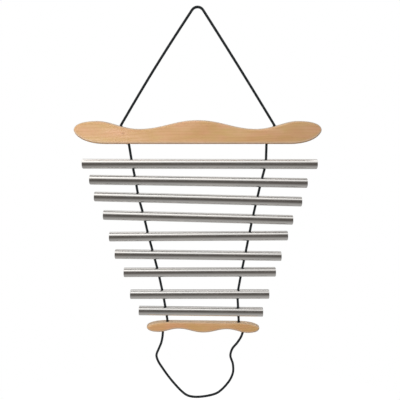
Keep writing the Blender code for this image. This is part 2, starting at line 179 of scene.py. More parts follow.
class Nodes:
    """Adds nodes to a tree and links them, so that each material reads as a short list."""

    def __init__(self, tree):
        self.tree = tree

    def add(self, kind, settings=None, **inputs):
        """A node with its settings and inputs. An input is a value or another node's output."""
        node = self.tree.nodes.new(kind)
        for name, value in (settings or {}).items():
            setattr(node, name, value)
        for name, value in inputs.items():
            self.put(node.inputs[name.replace("_", " ")], value)
        return node

    def put(self, socket, value):
        """Links an output to a socket, or sets the socket's own value."""
        if isinstance(value, bpy.types.NodeSocket):
            self.tree.links.new(value, socket)
        else:
            socket.default_value = value

    def math(self, operation, first, second=0.0, clamp=False):
        """One step of arithmetic."""
        node = self.tree.nodes.new("ShaderNodeMath")
        node.operation = operation
        node.use_clamp = clamp
        self.put(node.inputs[0], first)
        self.put(node.inputs[1], second)
        return node.outputs[0]

    def mix(self, share, first, second, blend="MIX"):
        """A mix of two colours."""
        node = self.tree.nodes.new("ShaderNodeMix")
        node.data_type = "RGBA"
        node.blend_type = blend
        self.put(node.inputs["Factor"], share)
        self.put(node.inputs[6], first)
        self.put(node.inputs[7], second)
        return node.outputs[2]

    def spread(self, value, low, high, to_low=0.0, to_high=1.0):
        """A value moved from one range to another and held inside it."""
        node = self.tree.nodes.new("ShaderNodeMapRange")
        node.clamp = True
        self.put(node.inputs["Value"], value)
        node.inputs["From Min"].default_value = low
        node.inputs["From Max"].default_value = high
        node.inputs["To Min"].default_value = to_low
        node.inputs["To Max"].default_value = to_high
        return node.outputs["Result"]

    def stretched(self, vector, scale, turn=(0.0, 0.0, 0.0), shift=(0.0, 0.0, 0.0)):
        """Coordinates stretched along each axis."""
        node = self.add("ShaderNodeMapping", Vector=vector)
        node.inputs["Scale"].default_value = scale
        node.inputs["Rotation"].default_value = turn
        node.inputs["Location"].default_value = shift
        return node.outputs["Vector"]

    def noise(self, vector, scale, detail=3.0, roughness=0.5, distortion=0.0):
        """Smooth noise from 0 to 1."""
        node = self.add("ShaderNodeTexNoise", Vector=vector, Scale=scale, Detail=detail)
        node.inputs["Roughness"].default_value = roughness
        node.inputs["Distortion"].default_value = distortion
        return node.outputs["Fac"]

    def group(self, tree, **inputs):
        """A shader group placed with its own values."""
        node = self.tree.nodes.new("ShaderNodeGroup")
        node.node_tree = tree
        for name, value in inputs.items():
            self.put(node.inputs[name.replace("_", " ")], value)
        return node


def new_group(name, inputs, outputs):
    """An empty shader group with named inputs and outputs."""
    tree = bpy.data.node_groups.new(name, "ShaderNodeTree")
    for label, kind, value in inputs:
        socket = tree.interface.new_socket(label, in_out="INPUT", socket_type=kind)
        if value is not None:
            socket.default_value = value
    for label, kind in outputs:
        tree.interface.new_socket(label, in_out="OUTPUT", socket_type=kind)
    nodes = Nodes(tree)
    return tree, nodes, nodes.add("NodeGroupInput").outputs, nodes.add("NodeGroupOutput").inputs


def new_material(name):
    """A material with its Principled shader, ready to be given its inputs."""
    made = bpy.data.materials.new(name)
    made.use_nodes = True
    return made, Nodes(made.node_tree), made.node_tree.nodes["Principled BSDF"].inputs


def long_streaks_group():
    """Streaks along X: noise drawn out by a stretch, as a drawn tube or straight-grained wood has."""
    tree, nodes, given, result = new_group(
        "long_streaks",
        [
            ("Vector", "NodeSocketVector", None),
            ("Streak Length", "NodeSocketFloat", 0.05),
            ("Streak Width", "NodeSocketFloat", 0.0005),
            ("Contrast", "NodeSocketFloat", 1.0),
        ],
        [("Streak", "NodeSocketFloat")],
    )
    across = nodes.math("DIVIDE", 1.0, given["Streak Width"])
    along = nodes.math("DIVIDE", 1.0, given["Streak Length"])
    scale = nodes.add("ShaderNodeCombineXYZ", X=along, Y=across, Z=across).outputs[0]
    drawn = nodes.add("ShaderNodeVectorMath", {"operation": "MULTIPLY"})
    nodes.put(drawn.inputs[0], given["Vector"])
    nodes.put(drawn.inputs[1], scale)
    noise = nodes.noise(drawn.outputs[0], 1.0, 3.0, 0.6)
    centred = nodes.math("SUBTRACT", noise, 0.5)
    strong = nodes.math("MULTIPLY", centred, given["Contrast"])
    nodes.put(result["Streak"], nodes.math("ADD", strong, 0.5, clamp=True))
    return tree


def cloud_group():
    """Slow, soft change over a surface, for handling marks and uneven colour."""
    tree, nodes, given, result = new_group(
        "soft_clouds",
        [
            ("Vector", "NodeSocketVector", None),
            ("Size", "NodeSocketFloat", 0.03),
            ("Low", "NodeSocketFloat", 0.0),
            ("High", "NodeSocketFloat", 1.0),
        ],
        [("Cloud", "NodeSocketFloat")],
    )
    scale = nodes.math("DIVIDE", 1.0, given["Size"])
    noise = nodes.noise(given["Vector"], scale, 2.0, 0.5)
    share = nodes.spread(noise, 0.32, 0.68)
    reach = nodes.math("SUBTRACT", given["High"], given["Low"])
    nodes.put(result["Cloud"], nodes.math("ADD", given["Low"], nodes.math("MULTIPLY", share, reach)))
    return tree


LONG_STREAKS = long_streaks_group()
SOFT_CLOUDS = cloud_group()


def beech_wood(name, pale, dark, edge_sheen_and_shade_tone, lower_rim_highlight_tone, fleck_and_shade_tone, painted_end_shade=1.0, fleck_place=None):
    """Sanded beech with growth rings round a far centre, short dark flecks along the grain and lacquer.
    Painted into its colour: a greyer sheen and shade where its edges are rounded, a pale painted highlight
    along the lower edge and painted shade beneath. It also darkens towards its right end, painted shade
    for light that falls off to the right; the argument for that is how much brightness the right end keeps."""
    made, nodes, shader = new_material(name)
    place = nodes.add("ShaderNodeTexCoord").outputs["Object"]
    bent = nodes.noise(nodes.stretched(place, (6.0, 30.0, 30.0)), 1.0, 2.0, 0.5)
    parts = nodes.add("ShaderNodeSeparateXYZ", Vector=nodes.stretched(place, (1.0, 1.0, 1.0), (0.0, 0.03, 0.0)))
    from_heart_y = nodes.math("ADD", parts.outputs["Y"], 0.045)
    from_heart_z = nodes.math("ADD", parts.outputs["Z"], 0.075)
    radius = nodes.math(
        "SQRT",
        nodes.math(
            "ADD",
            nodes.math("MULTIPLY", from_heart_y, from_heart_y),
            nodes.math("MULTIPLY", from_heart_z, from_heart_z),
        ),
    )
    wavering = nodes.math("ADD", radius, nodes.math("MULTIPLY", bent, 0.012))
    ring = nodes.math("FRACT", nodes.math("MULTIPLY", wavering, 1 / 0.0032))
    late_wood = nodes.spread(ring, 0.55, 1.0)
    streak = nodes.group(LONG_STREAKS, Vector=place, Streak_Length=0.05, Streak_Width=0.0011, Contrast=1.6)
    fleck = nodes.group(LONG_STREAKS, Vector=place, Streak_Length=0.0030, Streak_Width=0.00042, Contrast=2.2)
    flecks = nodes.spread(fleck.outputs["Streak"], 0.72, 0.9)
    patch = nodes.group(SOFT_CLOUDS, Vector=nodes.stretched(place, (0.5, 1.0, 1.0)), Size=0.02, Low=0.0, High=1.0)
    tone = nodes.math("MULTIPLY", late_wood, 0.35)
    tone = nodes.math("ADD", tone, nodes.math("MULTIPLY", streak.outputs["Streak"], 0.45))
    tone = nodes.math("ADD", tone, nodes.math("MULTIPLY", patch.outputs["Cloud"], 0.3))
    colour = nodes.mix(tone, (*pale, 1.0), (*dark, 1.0))
    long_place = nodes.stretched(place, (0.35, 1.0, 1.0))
    rosy = nodes.group(SOFT_CLOUDS, Vector=long_place, Size=0.0085, Low=0.0, High=0.9)
    colour = nodes.mix(rosy.outputs["Cloud"], colour, (1.0, 0.90, 0.95, 1.0), "MULTIPLY")
    moved = nodes.stretched(place, (0.35, 1.0, 1.0), shift=(0.3, 0.1, 0.2))
    straw = nodes.group(SOFT_CLOUDS, Vector=moved, Size=0.0075, Low=0.0, High=0.9)
    colour = nodes.mix(straw.outputs["Cloud"], colour, (0.90, 0.97, 0.74, 1.0), "MULTIPLY")
    # Painted shade: the colour darkens towards the right end, for light that falls off from the left.
    fade = nodes.spread(nodes.add("ShaderNodeSeparateXYZ", Vector=place).outputs["X"], 0.08, 0.125, 1.0, painted_end_shade)
    faded = nodes.add("ShaderNodeVectorMath", {"operation": "SCALE"}, Scale=fade)
    nodes.put(faded.inputs[0], colour)
    depth = nodes.math("ABSOLUTE", nodes.add("ShaderNodeSeparateXYZ", Vector=place).outputs["Y"])
    half = BAR_THICKNESS / 2
    # Painted sheen and shade: the rounded edges turn to a greyer tone, paler on the bottom bar, darker on the top
    # bar.
    rounding = nodes.spread(depth, half - 1.5 * MM, half - 0.3 * MM, 0.5, 0.0)
    colour = nodes.mix(rounding, faded.outputs[0], (*edge_sheen_and_shade_tone, 1.0))
    normal = nodes.add("ShaderNodeTexCoord").outputs["Normal"]
    up = nodes.add("ShaderNodeSeparateXYZ", Vector=normal).outputs["Z"]
    # Painted highlight: a pale band where the lower rounding starts to face down.
    rim = nodes.math("MULTIPLY", nodes.spread(up, -0.2, -0.02, 0.95, 0.0), nodes.spread(up, -0.6, -0.3))
    colour = nodes.mix(rim, colour, (*lower_rim_highlight_tone, 1.0))
    # Painted shade: the wood darkens where it faces down. The same dark tone colours the flecks below.
    colour = nodes.mix(nodes.spread(up, -0.72, -0.3, 0.65, 0.0), colour, (*fleck_and_shade_tone, 1.0))
    colour = nodes.mix(nodes.math("MULTIPLY", flecks, 0.4), colour, (*fleck_and_shade_tone, 1.0))
    if fleck_place is not None:
        offset = nodes.add("ShaderNodeVectorMath", {"operation": "SUBTRACT"})
        nodes.put(offset.inputs[0], place)
        nodes.put(offset.inputs[1], fleck_place)
        reach = nodes.add("ShaderNodeVectorMath", {"operation": "LENGTH"})
        nodes.put(reach.inputs[0], nodes.stretched(offset.outputs[0], (0.6, 1.0, 1.0)))
        spot = nodes.spread(reach.outputs["Value"], 0.0004, 0.0017, 0.6, 0.0)
        colour = nodes.mix(spot, colour, (*fleck_and_shade_tone, 1.0))
    nodes.put(shader["Base Color"], colour)
    rough = nodes.group(SOFT_CLOUDS, Vector=place, Size=0.012, Low=0.42, High=0.52)
    nodes.put(shader["Roughness"], rough.outputs["Cloud"])
    grain = nodes.math("ADD", nodes.math("MULTIPLY", flecks, -0.5), streak.outputs["Streak"])
    bump = nodes.add("ShaderNodeBump", Strength=0.25, Distance=0.0001, Height=grain)
    nodes.put(shader["Normal"], bump.outputs["Normal"])
    shader["Coat Weight"].default_value = 1.0
    shader["Coat Roughness"].default_value = 0.32
    return made


def satin_metal():
    """Drawn metal tube: fine lines along its length, soft handling marks and a clean sheen."""
    made, nodes, shader = new_material("satin_metal")
    place = nodes.add("ShaderNodeTexCoord").outputs["Object"]
    line = nodes.group(LONG_STREAKS, Vector=place, Streak_Length=0.030, Streak_Width=0.00025, Contrast=1.4)
    haze = nodes.group(SOFT_CLOUDS, Vector=place, Size=0.016, Low=-0.03, High=0.04)
    lined = nodes.spread(line.outputs["Streak"], 0.0, 1.0, 0.18, 0.25)
    nodes.put(shader["Roughness"], nodes.math("ADD", lined, haze.outputs["Cloud"]))
    tone = nodes.group(SOFT_CLOUDS, Vector=nodes.stretched(place, (0.4, 1.0, 1.0)), Size=0.02, Low=0.0, High=1.0)
    colour = nodes.mix(tone.outputs["Cloud"], (0.86, 0.845, 0.83, 1.0), (0.82, 0.82, 0.815, 1.0))
    nodes.put(shader["Base Color"], colour)
    shader["Metallic"].default_value = 1.0
    bump = nodes.add("ShaderNodeBump", Strength=0.07, Distance=0.00002, Height=line.outputs["Streak"])
    nodes.put(shader["Normal"], bump.outputs["Normal"])
    return made


def braided_cord():
    """Black braided cord: a soft sheen on the backs of its strands, with painted shade between them and their backs
    painted lighter.
    """
    made, nodes, shader = new_material("braided_cord")
    relief = nodes.add("ShaderNodeAttribute", {"attribute_name": "relief"}).outputs["Fac"]
    place = nodes.add("ShaderNodeTexCoord").outputs["Object"]
    uneven_strand_backs = nodes.group(SOFT_CLOUDS, Vector=place, Size=0.008, Low=0.7, High=1.0)
    raised = nodes.math("MULTIPLY", nodes.spread(relief, 0.1, 0.9), uneven_strand_backs.outputs["Cloud"])
    # Painted shade between the strands and lighter painted sheen on their backs, uneven along the cord.
    nodes.put(shader["Base Color"], nodes.mix(raised, (0.0042, 0.0064, 0.0077, 1.0), (0.0095, 0.015, 0.0185, 1.0)))
    nodes.put(shader["Roughness"], nodes.spread(relief, 0.0, 1.0, 0.75, 0.5))
    yarn = nodes.noise(nodes.add("ShaderNodeUVMap").outputs["UV"], 900.0, 2.0)
    bump = nodes.add("ShaderNodeBump", Strength=0.2, Distance=0.00005, Height=yarn)
    nodes.put(shader["Normal"], bump.outputs["Normal"])
    return made


# Then painted edge sheen and shade, painted rim highlight, and the tone of flecks and painted shade beneath.
BAR_WOOD_TOP = beech_wood(
    "beech_top",
    (0.78, 0.48, 0.255),
    (0.63, 0.335, 0.146),
    (0.58, 0.48, 0.37),
    (0.74, 0.53, 0.36),
    (0.40, 0.20, 0.09),
    # Painted shade: the share of brightness kept at the right end.
    0.92,
    (-0.0892, -0.0050, -0.1412),
)
BAR_WOOD_BOTTOM = beech_wood(
    "beech_bottom",
    (0.69, 0.40, 0.191),
    (0.56, 0.292, 0.117),
    (0.74, 0.60, 0.43),
    (0.60, 0.43, 0.29),
    (0.34, 0.16, 0.06),
)
TUBE_METAL = satin_metal()
CORD_BRAID = braided_cord()


# Mesh helpers


def mesh_from_grid(name, grid, around=True, along=False):
    """A mesh through a grid of points, rows by columns. around joins the last column to the first."""
    rows, columns = grid.shape[:2]
    index = np.arange(rows * columns).reshape(rows, columns)
    if around:
        index = np.concatenate([index, index[:, :1]], axis=1)
    if along:
        index = np.concatenate([index, index[:1]], axis=0)
    quads = np.stack([index[:-1, :-1], index[:-1, 1:], index[1:, 1:], index[1:, :-1]], axis=-1)
    mesh = bpy.data.meshes.new(name)
    mesh.from_pydata(grid.reshape(-1, 3), [], quads.reshape(-1, 4))
    return mesh


def point_outwards(mesh):
    """Turns the faces of a closed mesh so that they all point out."""
    shape = bmesh.new()
    shape.from_mesh(mesh)
    bmesh.ops.recalc_face_normals(shape, faces=shape.faces)
    shape.to_mesh(mesh)
    shape.free()


def add_piece(name, mesh, material):
    """A visible piece with its finish."""
    piece = bpy.data.objects.new(name, mesh)
    bpy.context.scene.collection.objects.link(piece)
    mesh.materials.clear()
    mesh.materials.append(material)
    return piece


def smooth(mesh, angle=math.radians(30)):
    """Shades a mesh smooth, apart from its sharp edges."""
    mesh.shade_smooth()
    mesh.set_sharp_from_angle(angle=angle)


def turned_profile(start, along, profile, sides):
    """A solid of revolution: each pair of distance along an axis and radius gives a ring round it."""
    along = np.array(along, float)
    along /= np.linalg.norm(along)
    first = np.cross(along, (0.0, 1.0, 0.0))
    first /= np.linalg.norm(first)
    second = np.cross(along, first)
    angle = 2 * np.pi * np.arange(sides) / sides
    ring = np.cos(angle)[:, None] * first + np.sin(angle)[:, None] * second
    profile = np.array(profile, float)
    centres = np.array(start, float) + profile[:, :1] * along
    return centres[:, None, :] + profile[:, 1][:, None, None] * ring[None]


def drill(piece, bores, sides=40):
    """Cuts a round hole for each bore, which is a start, a direction and pairs of distance and radius."""
    cutters = []
    for number, (start, along, profile) in enumerate(bores):
        closed = [(profile[0][0], 0.0)] + profile + [(profile[-1][0], 0.0)]
        mesh = mesh_from_grid(f"cutter_{number}", turned_profile(start, along, closed, sides))
        shape = bmesh.new()
        shape.from_mesh(mesh)
        bmesh.ops.remove_doubles(shape, verts=shape.verts, dist=1e-7)
        bmesh.ops.recalc_face_normals(shape, faces=shape.faces)
        shape.to_mesh(mesh)
        shape.free()
        cutter = bpy.data.objects.new(f"cutter_{number}", mesh)
        bpy.context.scene.collection.objects.link(cutter)
        hole = piece.modifiers.new("hole", "BOOLEAN")
        hole.solver = "EXACT"
        hole.object = cutter
        cutters.append(cutter)
    bpy.context.view_layer.update()
    done = bpy.data.meshes.new_from_object(piece.evaluated_get(bpy.context.evaluated_depsgraph_get()))
    piece.modifiers.clear()
    piece.data = done
    for cutter in cutters:
        bpy.data.objects.remove(cutter, do_unlink=True)


def mouth(distance, radius, opening):
    """The part of a bore's profile where it meets a surface: wider there by a small chamfer. opening is
    1 where the bore leaves the piece and -1 where it enters."""
    flare = 0.3 * MM
    rim = [(distance - opening * flare, radius), (distance + opening * flare, radius + 2 * flare)]
    return rim if opening == 1 else rim[::-1]


# Places, worked out from the solids


def node_points(name):
    """A solid's corners."""
    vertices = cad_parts[name].data.vertices
    points = np.zeros(len(vertices) * 3)
    vertices.foreach_get("co", points)
    return points.reshape(-1, 3)


def tube_ends(number):
    """The middle of each end of a tube, left then right."""
    points = node_points(f"chime_tube_{number}")
    left = points[points[:, 0] < points[:, 0].min() + TUBE_WALL]
    right = points[points[:, 0] > points[:, 0].max() - TUBE_WALL]
    return np.array([(end.min(0) + end.max(0)) / 2 for end in (left, right)])


def bezier(start, start_handle, end_handle, end, steps):
    """Points on a cubic curve, from its start up to but without its end."""
    t = np.arange(steps)[:, None] / steps
    u = 1 - t
    corners = [np.array(corner, float) for corner in (start, start_handle, end_handle, end)]
    return u**3 * corners[0] + 3 * u * u * t * corners[1] + 3 * u * t * t * corners[2] + t**3 * corners[3]


def bar_outline(bar, steps):
    """A bar's closed outline, wave upwards: curves from the crest to the trough, the lobe, the nose and
    the straight edge on the right, then the same mirrored on the left."""
    end_x = bar["length"] / 2
    trough_x = end_x - bar["trough_inset"]
    lobe_x = end_x - bar["lobe_inset"]
    heel_x = end_x - bar["straight_inset"]
    run = lobe_x - trough_x
    crest, trough, lobe, nose = bar["crest"], bar["trough"], bar["lobe"], bar["nose"]
    half = np.concatenate(
        [
            bezier((0, crest), (0.40 * trough_x, crest), (0.61 * trough_x, trough), (trough_x, trough), steps),
            bezier(
                (trough_x, trough),
                (trough_x + 0.39 * run, trough),
                (lobe_x - 0.32 * run, lobe),
                (lobe_x, lobe),
                steps,
            ),
            bezier(
                (lobe_x, lobe),
                (lobe_x + 0.88 * bar["lobe_inset"], lobe),
                (end_x, nose + 0.35 * (lobe - nose)),
                (end_x, nose),
                steps,
            ),
            bezier(
                (end_x, nose),
                (end_x, 0.80 * nose),
                (heel_x + 0.81 * bar["straight_inset"], 0),
                (heel_x, 0),
                steps,
            ),
            np.stack([np.linspace(heel_x, 0, steps, endpoint=False), np.zeros(steps)], axis=1),
            [(0.0, 0.0)],
        ]
    )
    left = half[1:-1][::-1] * (-1, 1)
    return np.concatenate([half, left])


def wavy_height(bar, x):
    """The height of a bar's wavy edge above its straight edge at a distance from its middle."""
    outline = bar_outline(bar, 60)
    upper = outline[: 60 * 3]
    upper = upper[upper[:, 0] >= 0]
    return float(np.interp(x, upper[:, 0], upper[:, 1]))


def turned(x, z, tilt):
    """A place in the plane of the chime, turned with the right end up."""
    angle = math.radians(tilt)
    return np.array([x * math.cos(angle) - z * math.sin(angle), 0.0, x * math.sin(angle) + z * math.cos(angle)])


def unit(vector):
    """A direction of length one."""
    return vector / np.linalg.norm(vector)


class Places:
    """Where the cords run, worked out as the solids' own sizes say."""

    def __init__(self):
        low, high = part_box("top_bar")
        self.top_bar = np.array([(low.x + high.x) / 2, 0.0, low.z])
        self.tubes = [tube_ends(number) for number in range(1, TUBE_COUNT + 1)]
        low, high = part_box("bottom_bar")
        middle = (low.x + high.x) / 2
        bar_top = node_points("bottom_bar")
        near = bar_top[np.abs(bar_top[:, 0] - middle) < BOTTOM_BAR["length"] / 2 - BOTTOM_BAR["straight_inset"]]
        slope = math.tan(math.radians(BOTTOM_BAR_TILT))
        self.bottom_bar = np.array([middle, 0.0, (near[:, 2] - slope * (near[:, 0] - middle)).max()])
        self.stations = {}
        self.hanger_ends = {}
        self.loop_holes = {}
        for side, sign in SIDES.items():
            self.place_side(side, sign)

    def place_side(self, side, sign):
        """One run of cord, from the top bar's straight edge down to the bottom bar's."""
        hanger_x = TOP_BAR["length"] / 2 - HANGER_INSET
        height = wavy_height(TOP_BAR, hanger_x) + STRAND_LIFT
        self.hanger_ends[side] = self.top_bar + (sign * hanger_x, 0.0, height)
        ladder_x = TOP_BAR["length"] / 2 - TOP_LADDER_INSET
        line = [self.top_bar + (sign * ladder_x, 0.0, 0.0)]
        for (left, right), inset in zip(self.tubes, CORD_HOLE_INSETS[side]):
            near, far = (left, right) if side == "left" else (right, left)
            line.append(near + inset * unit(far - near))
        entry_x = BOTTOM_BAR["length"] / 2 - BOTTOM_LADDER_INSET
        line.append(self.bottom_bar + turned(sign * entry_x, 0.0, BOTTOM_BAR_TILT))
        self.stations[side] = line
        loop_x = BOTTOM_BAR["length"] / 2 - LOOP_INSET
        hole = turned(sign * loop_x, -wavy_height(BOTTOM_BAR, loop_x), BOTTOM_BAR_TILT)
        self.loop_holes[side] = self.bottom_bar + hole

    def direction(self, level, side):
        """The direction of the cord below a level, where 0 is the top bar and 9 the last tube."""
        line = self.stations[side]
        return unit(line[level + 1] - line[level])

    def reach(self, level, along, radius):
        """How far a tube's wall is from its axis in a direction across it."""
        left, right = self.tubes[level - 1]
        return radius / math.sqrt(1 - float(along @ unit(right - left)) ** 2)

    def exit(self, level, side):
        """Where the cord leaves the top bar or a tube, at its outer surface."""
        along = self.direction(level, side)
        surface = self.reach(level, along, TUBE_RADIUS) if level else 0.0
        return self.stations[side][level] + along * surface

    def knot_start(self, level, side):
        """Where the knot inside a tube begins, just under its upper wall."""
        along = self.direction(level - 1, side)
        return self.stations[side][level] - along * (self.reach(level, along, BORE_RADIUS) - KNOT_DROP)


PLACES = Places()


# Wooden bars


def bar_halves(outline, inset, columns):
    """The upper and the lower edge of a bar's outline drawn in by an inset, each at the same columns
    from nose to nose. Columns stand at half the length times the sine of an even angle."""
    along = np.roll(outline, -1, axis=0) - np.roll(outline, 1, axis=0)
    along /= np.linalg.norm(along, axis=1, keepdims=True)
    drawn = outline + inset * np.stack([along[:, 1], -along[:, 0]], axis=1)
    right = int(np.argmax(drawn[:, 0]))
    left = int(np.argmin(drawn[:, 0]))
    upper = np.concatenate([drawn[left:], drawn[: right + 1]])
    lower = drawn[right : left + 1][::-1]
    x = drawn[right, 0] * np.sin(np.linspace(-np.pi / 2, np.pi / 2, columns))
    return [np.stack([x, np.interp(x, edge[:, 0], edge[:, 1])], axis=1) for edge in (lower, upper)]


def add_bar(name, bar, up, origin, tilt, material):
    """A sawn bar as one grid: columns from nose to nose, and rows once round its section. The rounding
    is a quarter circle, so at an angle a the edge is inset by r - r sin(a) and lies r - r cos(a) behind
    the face. Flat rows join the lower and upper edge across both faces."""
    outline = bar_outline(bar, 60)
    columns = 260
    angle = np.linspace(0, np.pi / 2, 8)
    rounded = []
    for turn in angle:
        halves = bar_halves(outline, BAR_ROUNDOVER * (1 - math.sin(turn)), columns)
        rounded.append((BAR_ROUNDOVER * (1 - math.cos(turn)), halves))
    lower, upper = rounded[0][1]
    share = np.linspace(0, 1, 7)[1:-1]
    rows = [(0.0, lower * (1 - s) + upper * s) for s in share]
    rows += [(depth, halves[1]) for depth, halves in rounded]
    rows += [(BAR_THICKNESS - depth, halves[1]) for depth, halves in rounded[::-1]]
    rows += [(BAR_THICKNESS, upper * (1 - s) + lower * s) for s in share]
    rows += [(BAR_THICKNESS - depth, halves[0]) for depth, halves in rounded]
    rows += [(depth, halves[0]) for depth, halves in rounded[::-1]]
    turn = math.radians(tilt)
    grid = np.zeros((columns, len(rows), 3))
    for row, (depth, edge) in enumerate(rows):
        x, z = edge[:, 0], up * edge[:, 1]
        grid[:, row, 0] = x * math.cos(turn) - z * math.sin(turn) + origin[0]
        grid[:, row, 1] = depth - BAR_THICKNESS / 2
        grid[:, row, 2] = x * math.sin(turn) + z * math.cos(turn) + origin[2]
    mesh = mesh_from_grid(name, grid)
    shape = bmesh.new()
    shape.from_mesh(mesh)
    shape.verts.ensure_lookup_table()
    for end in (0, columns - 1):
        ring = shape.verts[end * len(rows) : (end + 1) * len(rows)]
        shape.faces.new(ring)
    bmesh.ops.remove_doubles(shape, verts=shape.verts, dist=5e-6)
    bmesh.ops.dissolve_degenerate(shape, edges=shape.edges, dist=1e-6)
    bmesh.ops.recalc_face_normals(shape, faces=shape.faces)
    shape.to_mesh(mesh)
    shape.free()
    return add_piece(name, mesh, material)


def through_bores(upper, lower):
    """Bores that drill a bar from edge to edge, wider below for the knot."""
    bores = []
    for side in SIDES:
        along = unit(lower[side] - upper[side])
        outside = 3 * MM
        start = upper[side] - along * outside
        far = outside + np.linalg.norm(lower[side] - upper[side])
        shoulder = far - KNOT_HEIGHT - KNOT_DROP
        profile = [(0.0, HOLE_RADIUS + 0.6 * MM)] + mouth(outside + 0.5 * MM, HOLE_RADIUS, -1)
        profile += [(shoulder, HOLE_RADIUS), (shoulder + 0.5 * MM, COUNTERBORE_RADIUS)]
        profile += mouth(far, COUNTERBORE_RADIUS, 1) + [(far + outside, COUNTERBORE_RADIUS + 0.6 * MM)]
        bores.append((start, along, profile))
    return bores


def add_bars():
    """Both bars with their cord holes."""
    top = add_bar("wooden_top_bar", TOP_BAR, 1, PLACES.top_bar, 0.0, BAR_WOOD_TOP)
    ladder_tops = {side: PLACES.stations[side][0] for side in SIDES}
    drill(top, through_bores(PLACES.hanger_ends, ladder_tops))
    smooth(top.data)
    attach(top, "top_bar")
    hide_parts("top_bar")
    bottom = add_bar("wooden_bottom_bar", BOTTOM_BAR, -1, PLACES.bottom_bar, BOTTOM_BAR_TILT, BAR_WOOD_BOTTOM)
    entries = {side: PLACES.stations[side][-1] for side in SIDES}
    drill(bottom, through_bores(entries, PLACES.loop_holes))
    smooth(bottom.data)
    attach(bottom, "bottom_bar")
    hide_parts("bottom_bar")


# Metal tubes


def add_tube(number):
    """A tube: its wall's outline turned round its axis, with small chamfers at the sawn ends, and two
    holes through each wall in line with the cord above and below."""
    left, right = PLACES.tubes[number - 1]
    length = np.linalg.norm(right - left)
    chamfer = 0.25 * MM
    steps = max(8, round(length / (3 * MM)))
    outside = [(x, TUBE_RADIUS) for x in np.linspace(chamfer, length - chamfer, steps)]
    inside = [(x, BORE_RADIUS) for x in np.linspace(length - chamfer, chamfer, steps)]
    right_lip = [(length, TUBE_RADIUS - chamfer), (length, BORE_RADIUS + chamfer)]
    left_lip = [(0.0, BORE_RADIUS + chamfer), (0.0, TUBE_RADIUS - chamfer)]
    profile = outside + right_lip + inside + left_lip
    grid = turned_profile(left, right - left, profile, 96)
    mesh = mesh_from_grid(f"metal_tube_{number}", grid, along=True)
    point_outwards(mesh)
    tube = add_piece(f"metal_tube_{number}", mesh, TUBE_METAL)
    bores = []
    for side in SIDES:
        for along in (-PLACES.direction(number - 1, side), PLACES.direction(number, side)):
            wall = 2.5 * TUBE_WALL
            start = PLACES.stations[side][number] + along * (PLACES.reach(number, along, TUBE_RADIUS) - wall)
            profile = [(0.0, HOLE_RADIUS)] + mouth(wall, HOLE_RADIUS, 1) + [(wall + MM, HOLE_RADIUS + 0.6 * MM)]
            bores.append((start, along, profile))
    drill(tube, bores)
    smooth(tube.data)
    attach(tube, f"tube_{number}")
    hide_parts(f"chime_tube_{number}")


# Cords

BRAID_STRANDS = 6
BRAID_PITCH = 1.55 * MM
BRAID_RELIEF = 0.045
CORD_SIDES = 36
CORD_STEP = 0.26 * MM


def resample(route, step):
    """Points a step apart along a route, its own corners rounded off by the points' spacing."""
    route = np.array(route, float)
    lengths = np.concatenate([[0.0], np.cumsum(np.linalg.norm(np.diff(route, axis=0), axis=1))])
    count = max(4, round(lengths[-1] / step))
    here = np.linspace(0.0, lengths[-1], count + 1)
    return np.stack([np.interp(here, lengths, route[:, k]) for k in range(3)], axis=1)


def smooth_route(corners, step):
    """Points about a step apart on a smooth curve through all of the corners: on each stretch a cubic
    that leaves every corner in the direction from the corner before it to the corner after."""
    corners = np.array(corners, float)
    knots = np.concatenate([[0.0], np.cumsum(np.linalg.norm(np.diff(corners, axis=0), axis=1))])
    before = np.concatenate([[0], np.arange(len(corners) - 1)])
    after = np.concatenate([np.arange(1, len(corners)), [len(corners) - 1]])
    slopes = (corners[after] - corners[before]) / (knots[after] - knots[before])[:, None]
    here = np.linspace(0.0, knots[-1], max(2, round(knots[-1] / step)) + 1)
    span = np.clip(np.searchsorted(knots, here, side="right") - 1, 0, len(corners) - 2)
    width = (knots[span + 1] - knots[span])[:, None]
    t = ((here - knots[span])[:, None]) / width
    return (
        corners[span] * (2 * t**3 - 3 * t**2 + 1)
        + slopes[span] * (t**3 - 2 * t**2 + t) * width
        + corners[span + 1] * (3 * t**2 - 2 * t**3)
        + slopes[span + 1] * (t**3 - t**2) * width
    )


def frames_along(points):
    """Two directions square to a path at each of its points, turned as little as possible on the way."""
    tangents = np.gradient(points, axis=0)
    tangents /= np.linalg.norm(tangents, axis=1, keepdims=True)
    side = np.cross(tangents[0], (0.0, 1.0, 0.0))
    sides = []
    for tangent in tangents:
        side = unit(side - (side @ tangent) * tangent)
        sides.append(side)
    sides = np.array(sides)
    return tangents, sides, np.cross(tangents, sides)


def braid_height(around, along):
    """Height of the braid from 0 to 1. Two families of strands cross at a slant. Their edges part the
    surface into diamonds, each the back of the strand on top there: high in the middle, and
    longer along its own strand than across it."""
    first = BRAID_STRANDS * around / 2 + np.pi * along / BRAID_PITCH
    second = BRAID_STRANDS * around / 2 - np.pi * along / BRAID_PITCH
    first_on_top = (np.floor(first / np.pi) + np.floor(second / np.pi)) % 2 == 0
    across = np.where(first_on_top, np.abs(np.sin(first)), np.abs(np.sin(second)))
    length = np.where(first_on_top, np.abs(np.sin(second)), np.abs(np.sin(first)))
    return across**0.8 * length**0.35


